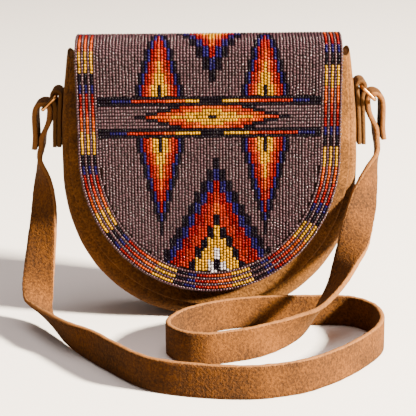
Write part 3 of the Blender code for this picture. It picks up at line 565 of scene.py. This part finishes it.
ring_brass, shader = start_material("antiqued_brass_wire", 0.32, 1.0)
place = add_node(ring_brass, "ShaderNodeTexCoord", {}).outputs["Object"]
worn = add_node(ring_brass, "ShaderNodeTexNoise", {}, Vector=place, Scale=160.0, Detail=4.0)
ramp = add_node(ring_brass, "ShaderNodeValToRGB", {}, Fac=worn.outputs["Fac"])
ramp.color_ramp.elements[0].position = 0.35
ramp.color_ramp.elements[0].color = hex_colour("#6A3E1C")
ramp.color_ramp.elements[1].position = 0.65
ramp.color_ramp.elements[1].color = hex_colour("#B07A40")
ring_brass.node_tree.links.new(ramp.outputs["Color"], shader.inputs["Base Color"])
rough = add_node(ring_brass, "ShaderNodeMapRange", {}, Value=worn.outputs["Fac"], i3=0.42, i4=0.24)
ring_brass.node_tree.links.new(rough.outputs[0], shader.inputs["Roughness"])


def build_ring(name, side, wire_place, body, replaced):
    start = Vector((wire_place[0], 0, wire_place[1]))
    tilt = math.radians(45)
    out = Vector((side * math.cos(tilt), 0, -math.sin(tilt)))
    sideways = Vector((0, 1, 0))
    flat = out.cross(sideways)
    corners = (
        (RING_CORNER, RING_HALF_SPAN - RING_CORNER, math.pi),
        (RING_DROP - RING_CORNER, RING_HALF_SPAN - RING_CORNER, math.pi / 2),
        (RING_DROP - RING_CORNER, RING_CORNER - RING_HALF_SPAN, 0.0),
        (RING_CORNER, RING_CORNER - RING_HALF_SPAN, -math.pi / 2),
    )
    sections, marks = [], []
    for drop, span, first in corners:
        for step in range(9):
            angle = first - math.pi / 2 * step / 8
            ahead = out * math.cos(angle) + sideways * math.sin(angle)
            centre = start + out * drop + sideways * span + ahead * RING_CORNER
            section = []
            for corner in range(20):
                turn = 2 * math.pi * corner / 20
                section.append(centre + (ahead * math.cos(turn) + flat * math.sin(turn)) * WIRE_RADIUS)
            sections.append(section)
            marks.append([(0.0, 0.0, 0.0)] * 20)
    bm = bmesh.new()
    sweep(bm, sections, marks, closed=True)
    return finish_piece(bm, name, ring_brass, body, replaces=[replaced])


build_ring("left_brass_ring", -1, LEFT_TAB_WIRE, "ring_left", "left_ring")
build_ring("right_brass_ring", 1, RIGHT_TAB_WIRE, "ring_right", "right_ring")

# Flap: a U of 2.5 mm suede cut on flat leather, x across and s down from the fold behind the mouth,
# then bent over the mouth. Its cut edge shows as a thin tan line outside the beads.

FLAP_THICK = 2.5
FLAP_HALF_WIDTH = 86.0
FLAP_TOP_HALF_WIDTH = 87.7
FLAP_ROUND_HEIGHT = 115.0
FLAP_TIP_HEIGHT = 22.5
FLAP_STAND_OFF = 3.7
HINGE_HEIGHT = 172.0
SHOULDER_HEIGHT = 172.0
CREST_HEIGHT = 188.7
CREST_BACKSET = -1.7
ARCH_BACK_HEIGHT = 179.0
ARCH_POWER = 2.4
ARCH_STEPS = 14
LEAN = math.atan(8.0 / (PANEL_TOP - SEAM_BASE))


def flap_profile():
    """Side view of the leather's outer face, as (y, z), from the fold to the tip."""
    back = half_depth(HINGE_HEIGHT) + PANEL_CLEAR + FLAP_THICK
    front = half_depth(SHOULDER_HEIGHT) + FLAP_STAND_OFF + FLAP_THICK
    points = [Vector((back, HINGE_HEIGHT))]
    for step in range(2 * ARCH_STEPS + 1):
        angle = math.pi / 2 * step / ARCH_STEPS
        swing, swell = math.cos(angle), max(0.0, math.sin(angle)) ** (2 / ARCH_POWER)
        reach = max(1e-9, abs(swing)) ** (2 / ARCH_POWER)
        behind = step <= ARCH_STEPS
        low = ARCH_BACK_HEIGHT if behind else SHOULDER_HEIGHT
        span = back - CREST_BACKSET if behind else -(front + CREST_BACKSET)
        points.append(Vector((CREST_BACKSET + span * reach, low + (CREST_HEIGHT - low) * swell)))
    points.append(Vector((-(half_depth(FLAP_TIP_HEIGHT) + FLAP_STAND_OFF + FLAP_THICK), FLAP_TIP_HEIGHT)))
    return points


profile = flap_profile()
stations = [0.0]
walls = []
for start, end in zip(profile, profile[1:]):
    stations.append(stations[-1] + (end - start).length)
    along = (end - start).normalized()
    walls.append(Vector((along.y, -along.x)))
normals = [walls[0]]
for before, after in zip(walls, walls[1:]):
    normals.append((before + after).normalized())
normals.append(walls[-1])
SHOULDER = stations[-2]
FLAP_LENGTH = stations[-1]
stations_y = np.array([point.x for point in profile])
stations_z = np.array([point.y for point in profile])
normals_y = np.array([normal.x for normal in normals])
normals_z = np.array([normal.y for normal in normals])


def bend(points):
    """Moves an array of (x, s, height) points from the flat leather to the bent flap."""
    x, s, height = points[:, 0], points[:, 1], points[:, 2]
    turn_y = np.interp(s, stations, normals_y)
    turn_z = np.interp(s, stations, normals_z)
    length = np.hypot(turn_y, turn_z)
    y = np.interp(s, stations, stations_y) + height * turn_y / length
    z = np.interp(s, stations, stations_z) + height * turn_z / length
    return np.stack([x, y, z], axis=1)


def at_height(height):
    return SHOULDER + (SHOULDER_HEIGHT - height) / math.cos(LEAN)


ROUND_START = at_height(FLAP_ROUND_HEIGHT)
FLAP_DROP = FLAP_LENGTH - ROUND_START


def flap_outline(inset, start, tip_steps):
    """From the top right, round the tip to the top left, moved in from the edge."""
    half = tip_steps // 2
    narrowing = FLAP_TOP_HALF_WIDTH - FLAP_HALF_WIDTH
    points = [(FLAP_HALF_WIDTH + narrowing * (1 - start / ROUND_START) - inset, start)]
    for step in range(half + 1):
        angle = math.pi / 2 * step / half
        normal = Vector((math.cos(angle) * FLAP_DROP, math.sin(angle) * FLAP_HALF_WIDTH)).normalized()
        points.append((math.cos(angle) * FLAP_HALF_WIDTH - normal.x * inset,
                       ROUND_START + math.sin(angle) * FLAP_DROP - normal.y * inset))
    points[-1] = (0.0, points[-1][1])
    return points + [(-x, s) for x, s in reversed(points[:-1])]


bm = bmesh.new()
face = bm.faces.new([bm.verts.new((x, s, -FLAP_THICK)) for x, s in flap_outline(0, 0, 60)])
raised = bmesh.ops.extrude_face_region(bm, geom=[face])["geom"]
outer = [item for item in raised if isinstance(item, bmesh.types.BMVert)]
bmesh.ops.translate(bm, vec=(0, 0, FLAP_THICK), verts=outer)
rim = [
    edge for edge in bm.edges
    if abs(edge.verts[0].co.z - edge.verts[1].co.z) < 1e-6 and max(v.co.y for v in edge.verts) > 1e-6
]
bmesh.ops.bevel(bm, geom=rim, offset=0.5, affect="EDGES", segments=2, profile=0.5, material=-1)
cuts = stations[1:-1] + [SHOULDER + step * 8.0 for step in range(1, 19)]
for cut in cuts:
    bmesh.ops.bisect_plane(
        bm, geom=bm.verts[:] + bm.edges[:] + bm.faces[:], plane_co=(0, cut, 0), plane_no=(0, 1, 0), dist=1e-4
    )
flat = np.array([vert.co for vert in bm.verts])
for vert, place in zip(bm.verts, bend(flat)):
    vert.co = place
bmesh.ops.recalc_face_normals(bm, faces=bm.faces)
if bm.calc_volume(signed=True) < 0:
    bmesh.ops.reverse_faces(bm, faces=bm.faces)
finish_piece(bm, "flap_suede", body_suede, "flap", replaces=["flap_leather"])

# Yoke: the flap's end, sewn to the back panel below the fold with a row of thread along its edge.

YOKE_DEPTH = 19.0
YOKE_CORNER = 7.0

outline = [(FLAP_TOP_HALF_WIDTH, HINGE_HEIGHT - PANEL_CLEAR)]
for step in range(9):
    angle = math.pi / 2 * step / 8
    outline.append((FLAP_TOP_HALF_WIDTH - YOKE_CORNER * (1 - math.cos(angle)),
                    HINGE_HEIGHT - YOKE_DEPTH + YOKE_CORNER * (1 - math.sin(angle))))
outline += [(-x, z) for x, z in reversed(outline)]
bm = bmesh.new()
face = bm.faces.new([bm.verts.new((x, PANEL_CLEAR, z)) for x, z in outline])
raised = bmesh.ops.extrude_face_region(bm, geom=[face])["geom"]
outer = [item for item in raised if isinstance(item, bmesh.types.BMVert)]
bmesh.ops.translate(bm, vec=(0, FLAP_THICK, 0), verts=outer)
rim = [edge for edge in bm.edges if all(vert in outer for vert in edge.verts)]
bmesh.ops.bevel(bm, geom=rim, offset=0.5, affect="EDGES", segments=3, profile=0.5, material=-1)
for vert in bm.verts:
    vert.co.y += half_depth(vert.co.z)
bmesh.ops.recalc_face_normals(bm, faces=bm.faces)
finish_piece(bm, "yoke_suede", body_suede, "bag", replaces=["flap_yoke"])

# Beads: opaque seed beads 2 mm across, drawn and cut glass with a lustre, strung and couched in rows
# to the leather. The field's strings run down the flap, the band's across it and the border's round it.

STRING_PITCH = 2.07
BEAD_PITCH = 1.91
BEAD_START = 6.0
BORDER_ROWS = 7
BORDER_PITCH = 1.96
BAND_TOP = at_height(153.8)
BAND_PITCH = 2.11
BAND_ROWS = 13
BAND_BOTTOM = BAND_TOP + BAND_ROWS * BAND_PITCH
BEAD_SEAT = 1.05
PATTERN_CENTRE = 1.0
FLAME_OFFSET = 16.5
BAND_CENTRE = 1.5
EDGE_INSET = BORDER_ROWS * BORDER_PITCH

GREY, RED, SCARLET, ORANGE, YELLOW, BLUE, BLACK, WHITE = range(8)
# Two colours for each kind of bead: the first, lighter one is painted on the bead's top as a painted highlight, the
# second, darker one on its sides and ends as painted shade where the beads meet.
BEAD_TOP_COLOURS_PAINTED_LIGHT = ("#4A2F35", "#680300", "#821800", "#A04000", "#AC7E00", "#140A40", "#0A030C", "#C4BCC0")
BEAD_EDGE_COLOURS_PAINTED_SHADE = ("#1A0D11", "#420000", "#5A0800", "#742400", "#7E5600", "#09052A", "#050206", "#80767A")
FIRE_RAMP = (RED, SCARLET, ORANGE, YELLOW)

lustred_glass, shader = start_material("lustred_seed_bead_glass", 0.16)
shader.inputs["Specular IOR Level"].default_value = 0.25
opaque_glass, opaque_shader = start_material("opaque_seed_bead_glass", 0.15)
opaque_shader.inputs["Specular IOR Level"].default_value = 0.06
for material in (lustred_glass, opaque_glass):
    tone = add_node(material, "ShaderNodeAttribute", {"attribute_name": "bead_colour"})
    base = material.node_tree.nodes["Principled BSDF"].inputs["Base Color"]
    material.node_tree.links.new(tone.outputs["Color"], base)

# Under the beads lies a thin dark sheet: partly the thread that couches them, partly painted shade in the gaps between
# the beads.
thread_and_painted_gap_shade = suede_material("dark_thread_and_painted_gap_shade", "#3A2622", "#2A1A18", "#1C1110")
bm = bmesh.new()
face = bm.faces.new([bm.verts.new((x, s, 0.05)) for x, s in flap_outline(0.5, BEAD_START, 60)])
raised = bmesh.ops.extrude_face_region(bm, geom=[face])["geom"]
bmesh.ops.translate(bm, vec=(0, 0, 0.3), verts=[item for item in raised if isinstance(item, bmesh.types.BMVert)])
for cut in cuts:
    bmesh.ops.bisect_plane(
        bm, geom=bm.verts[:] + bm.edges[:] + bm.faces[:], plane_co=(0, cut, 0), plane_no=(0, 1, 0), dist=1e-4
    )
for vert, place in zip(bm.verts, bend(np.array([vert.co for vert in bm.verts]))):
    vert.co = place
bmesh.ops.recalc_face_normals(bm, faces=bm.faces)
if bm.calc_volume(signed=True) < 0:
    bmesh.ops.reverse_faces(bm, faces=bm.faces)
finish_piece(bm, "thread_bed_with_painted_gap_shade", thread_and_painted_gap_shade, "flap")

bm = bmesh.new()
bmesh.ops.create_uvsphere(bm, u_segments=8, v_segments=4, radius=1.0)
bmesh.ops.triangulate(bm, faces=bm.faces)
bead_points = np.array([vert.co for vert in bm.verts])
ring = (abs(bead_points[:, 2]) > 0.1) & (abs(bead_points[:, 2]) < 0.9)
bead_points[ring] *= (1.3, 1.3, 1.05)
bead_points[:, 2] *= 0.94
bm.verts.index_update()
bead_faces = np.array([[vert.index for vert in face.verts] for face in bm.faces])
bm.free()
luck = np.random.default_rng(7)


def build_beads(name, beads, replaced):
    """Beads are (x, s, direction in x, direction in s, length, width, colour). Each is a small barrel."""
    rows = np.array(beads, float)
    count = len(rows)
    jitter = luck.normal(0, 1, (count, 4))
    along = rows[:, 2:4]
    across = np.stack([-along[:, 1], along[:, 0]], axis=1)
    half_length = rows[:, 4] / 2 * 1.02
    half_width = rows[:, 5] / 2 * (1.0 + 0.02 * jitter[:, 0])
    height = rows[:, 5] / 2 * (0.98 + 0.03 * jitter[:, 1])
    place = rows[:, :2] + along * (0.08 * jitter[:, 2:3]) + across * (0.09 * jitter[:, 3:4])
    local = bead_points[None, :, :]
    flat = place[:, None, :] + along[:, None, :] * (local[:, :, 2:3] * half_length[:, None, None])
    flat = flat + across[:, None, :] * (local[:, :, 0:1] * half_width[:, None, None])
    up = BEAD_SEAT + local[:, :, 1:2] * height[:, None, None]
    points = bend(np.concatenate([flat, up], axis=2).reshape(-1, 3)) * MM
    faces = (bead_faces[None, :, :] + np.arange(count)[:, None, None] * len(bead_points)).reshape(-1, 3)
    mesh = bpy.data.meshes.new(name)
    mesh.from_pydata(points, [], faces)
    kinds = rows[:, 6].astype(int)
    painted_light_tops, edges = (np.array([hex_colour(code) for code in codes]) for codes in (BEAD_TOP_COLOURS_PAINTED_LIGHT, BEAD_EDGE_COLOURS_PAINTED_SHADE))
    # Painted light: each bead's top takes its lighter colour as a painted highlight, and its sides and ends the darker
    # one as painted shade.
    top = (np.clip(bead_points[:, 1], 0, 1) ** 3 * (1 - 0.9 * abs(bead_points[:, 2])))[None, :, None]
    colours = edges[kinds][:, None, :] * (1 - top) + painted_light_tops[kinds][:, None, :] * top
    shade = np.clip(1 + 0.22 * luck.normal(0, 1, (count, 1, 1)), 0.5, 1.7)
    colours[:, :, :3] = np.clip(colours[:, :, :3] * shade, 0, 1)
    layer = mesh.color_attributes.new(name="bead_colour", type="FLOAT_COLOR", domain="POINT")
    layer.data.foreach_set("color", colours.astype(np.float32).ravel())
    mesh.materials.append(opaque_glass)
    mesh.materials.append(lustred_glass)
    mesh.polygons.foreach_set("material_index", np.repeat((kinds == GREY).astype(np.int32), len(bead_faces)))
    mesh.shade_smooth()
    piece = bpy.data.objects.new(name, mesh)
    bpy.context.scene.collection.objects.link(piece)
    first, second, third = (points[faces[:8, k]] for k in range(3))
    if np.einsum("ij,ij->i", np.cross(second - first, third - first), first - points[:len(bead_points)].mean(0)).sum() < 0:
        mesh.flip_normals()
    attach(piece, "flap")
    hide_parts(*replaced)
    return piece


def flame_colour(strings, beads, lengths, cap, tail, slot):
    """A flame's colour at so many strings from its middle and beads from its base, or None outside it."""
    base = 0
    for row, length in enumerate(lengths):
        if beads < base + length:
            rest = 5 - row - strings
            if row == 0 and strings == 0 and beads < slot:
                return BLACK
            if rest >= 0:
                return FIRE_RAMP[min(rest, 3)]
            return {-1: BLUE, -2: BLACK}.get(rest)
        base += length
    if beads < base + cap:
        return {0: BLUE, 1: BLACK}.get(strings)
    return BLACK if beads < base + cap + tail and strings == 0 else None


def stepped_colour(strings, row):
    """The little triangle's and the pyramid's outline: rows are counted from the tip, strings from the middle."""
    if row == 0:
        return BLACK if strings < 1 else None
    if row == 1:
        return BLUE if strings < 1 else BLACK if strings < 3 else None
    half = 2 * row - 3
    if strings > half + 4:
        return None
    if strings > half + 2:
        return BLACK
    return BLUE if strings > half else half


def pyramid_colour(strings, row):
    found = stepped_colour(strings, row)
    if row < 2 or found in (None, BLUE, BLACK) and strings > 2 * row - 3:
        return found
    rest = 2 * row - 3 - strings
    step = row - 5
    if step >= 0:
        block = 2 * step
        if strings < 1 and step == 0 or abs(strings - block) < 1 and step > 0:
            return BLACK
        if step == 3 and strings < 1:
            return WHITE
        if step >= 4 and strings < 2 * step - 1:
            return BLACK if abs(strings - 2 * (step - 4)) < 1 else WHITE if strings < 2 * step - 5 else YELLOW
        if strings < block:
            return YELLOW
        return RED if rest < 3 else SCARLET if rest < 6 else ORANGE
    return RED if rest < 2 else SCARLET if rest < 4 else ORANGE


def triangle_colour(strings, row):
    found = stepped_colour(strings, row)
    if row < 2 or found in (None, BLUE, BLACK) and strings > 2 * row - 3:
        return found
    rest = 2 * row - 3 - strings
    return RED if rest < 2 else ORANGE if rest < 4 else YELLOW


UPPER_FLAME = (4, 4, 4, 4, 4, 4)
LOWER_FLAME = (5, 4, 5, 4, 4, 4)
TRIANGLE_TAIL = at_height(163.6)
PYRAMID_TIP = at_height(114.0)
STEP_LENGTH = 4 * BEAD_PITCH


def field_colour(x, s):
    strings = x / STRING_PITCH - PATTERN_CENTRE
    for side in (-1, 1):
        away = round(abs(strings - side * FLAME_OFFSET))
        if s < BAND_TOP:
            found = flame_colour(away, (BAND_TOP - s) / BEAD_PITCH, UPPER_FLAME, 2, 2, 4)
        else:
            found = flame_colour(away, (s - BAND_BOTTOM) / BEAD_PITCH, LOWER_FLAME, 3, 5, 6)
        if found is not None:
            return found
    if s < BAND_TOP:
        row = math.floor((TRIANGLE_TAIL - s) / STEP_LENGTH)
        found = triangle_colour(abs(strings), row) if 0 <= row < 6 else None
    else:
        row = math.floor((s - PYRAMID_TIP) / STEP_LENGTH)
        found = pyramid_colour(abs(strings - 1), row) if row >= 0 else None
    return GREY if found is None else found


def inner_half_width(s):
    """Half of the field's width where the border's strings leave it."""
    outline = flap_outline(EDGE_INSET, BEAD_START, 60)
    return float(np.interp(s, [p[1] for p in outline[:32]], [p[0] for p in outline[:32]], right=-1))


upper, lower = [], []
for string in range(-36, 36):
    x = (string + 0.5) * STRING_PITCH
    for start, way, beads in ((BAND_TOP, -1, upper), (BAND_BOTTOM, 1, lower)):
        pitch = BEAD_PITCH * (1 + 0.012 * luck.normal())
        slack = 0.15 * BEAD_PITCH * luck.normal()
        for bead in range(62):
            s = start + way * (slack + (bead + 0.5) * pitch)
            counted = start + way * (bead + 0.5) * BEAD_PITCH
            spread = 1 + (FLAP_TOP_HALF_WIDTH / FLAP_HALF_WIDTH - 1) * max(0.0, 1 - s / ROUND_START)
            if s > BEAD_START + 0.9 and abs(x) * spread < inner_half_width(s) - STRING_PITCH * 0.25:
                beads.append((x * spread, s, 0, 1, pitch, STRING_PITCH, field_colour(x, counted)))
motif_nodes = [f"{name}_{part}" for name in ("upper_left", "upper_right", "triangle") for part in ("fire", "blue", "black")]
build_beads("upper_field_beads", upper, ["field_top"] + motif_nodes)
motif_nodes = [f"{name}_{part}" for name in ("lower_left", "lower_right", "pyramid") for part in ("fire", "blue", "black")]
build_beads("lower_field_beads", lower, ["field_bottom"] + motif_nodes)

DIAMOND_LENGTHS = (42.9, 34.7, 27.0, 20.0)
UPPER_BAR = ((7.2, BLACK), (18.0, YELLOW), (30.0, ORANGE), (53.0, SCARLET), (64.5, BLUE), (99.0, BLACK))
LOWER_BAR = ((7.5, BLACK), (24.0, YELLOW), (31.0, ORANGE), (56.0, SCARLET), (67.0, BLUE), (99.0, BLACK))


def band_colour(x, row):
    away = abs(x - BAND_CENTRE)
    if row in (0, 2, 10, 12):
        return BLACK
    if row in (1, 11):
        return next(colour for reach, colour in (UPPER_BAR if row == 1 else LOWER_BAR) if away < reach)
    offset = abs(row - 6)
    rest = DIAMOND_LENGTHS[offset] - away
    if rest < 0:
        return BLACK if rest > -8 else GREY
    if offset == 0 and away < 3.3:
        return BLACK
    widths = {3: (8, 99, 99), 2: (8, 16, 20), 1: (4, 8, 18), 0: (4, 10, 16)}[offset]
    return SCARLET if rest < widths[0] else ORANGE if rest < widths[1] else YELLOW if rest > widths[2] else ORANGE


band = []
for row in range(BAND_ROWS):
    s = BAND_TOP + (row + 0.5) * BAND_PITCH
    reach = inner_half_width(s)
    count = round(2 * reach / 1.85)
    for bead in range(count):
        x = -reach + (bead + 0.5) * 2 * reach / count
        band.append((x, s, 1, 0, 2 * reach / count, BAND_PITCH, band_colour(x, row)))
build_beads("band_beads", band, ["bar_upper", "bar_lower", "band_left", "band_right", "diamond_fire", "diamond_left", "diamond_right"])

CYCLE = 53.1
CYCLE_START = 69.1
CYCLE_COLOURS = ((8.0, BLACK), (14.0, BLUE), (22.0, RED), (29.0, SCARLET), (39.0, ORANGE), (99.0, YELLOW))
border = []
middle_line = flap_outline(EDGE_INSET / 2, BEAD_START, 240)[::-1]
middle_run = np.concatenate([[0], np.cumsum([math.dist(a, b) for a, b in zip(middle_line, middle_line[1:])])])
for row in range(BORDER_ROWS):
    line = flap_outline((row + 0.5) * BORDER_PITCH, BEAD_START, 240)[::-1]
    run = np.concatenate([[0], np.cumsum([math.dist(a, b) for a, b in zip(line, line[1:])])])
    count = round(run[-1] / BEAD_PITCH)
    for bead in range(count):
        here = (bead + 0.5) / count * run[-1]
        k = int(np.searchsorted(run, here)) - 1
        start, end = Vector(line[k]), Vector(line[k + 1])
        along = (end - start).normalized()
        at = start + along * (here - run[k])
        share = np.interp(k + (here - run[k]) / (run[k + 1] - run[k]), range(len(middle_run)), middle_run)
        phase = (share + BEAD_START - CYCLE_START) % CYCLE
        colour = next(colour for reach, colour in CYCLE_COLOURS if phase < reach) if row % 2 else GREY
        border.append((at.x, at.y, along.x, along.y, run[-1] / count, BORDER_PITCH, colour))
build_beads("border_beads", border, [f"border_{row + 1}" for row in range(BORDER_ROWS)])

# Snap: a thin magnetic snap behind the flap, in nickel-plated steel.

snap_steel, shader = start_material("nickel_plated_steel", 0.3, 1.0)
place = add_node(snap_steel, "ShaderNodeTexCoord", {}).outputs["Object"]
brushed = add_node(snap_steel, "ShaderNodeTexNoise", {}, Vector=place, Scale=900.0, Detail=3.0)
ramp = add_node(snap_steel, "ShaderNodeValToRGB", {}, Fac=brushed.outputs["Fac"])
ramp.color_ramp.elements[0].color = hex_colour("#B8B4AA")
ramp.color_ramp.elements[1].color = hex_colour("#DAD6CC")
snap_steel.node_tree.links.new(ramp.outputs["Color"], shader.inputs["Base Color"])
for node in ("snap_socket", "snap_stud"):
    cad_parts[node].data.materials.clear()
    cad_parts[node].data.materials.append(snap_steel)
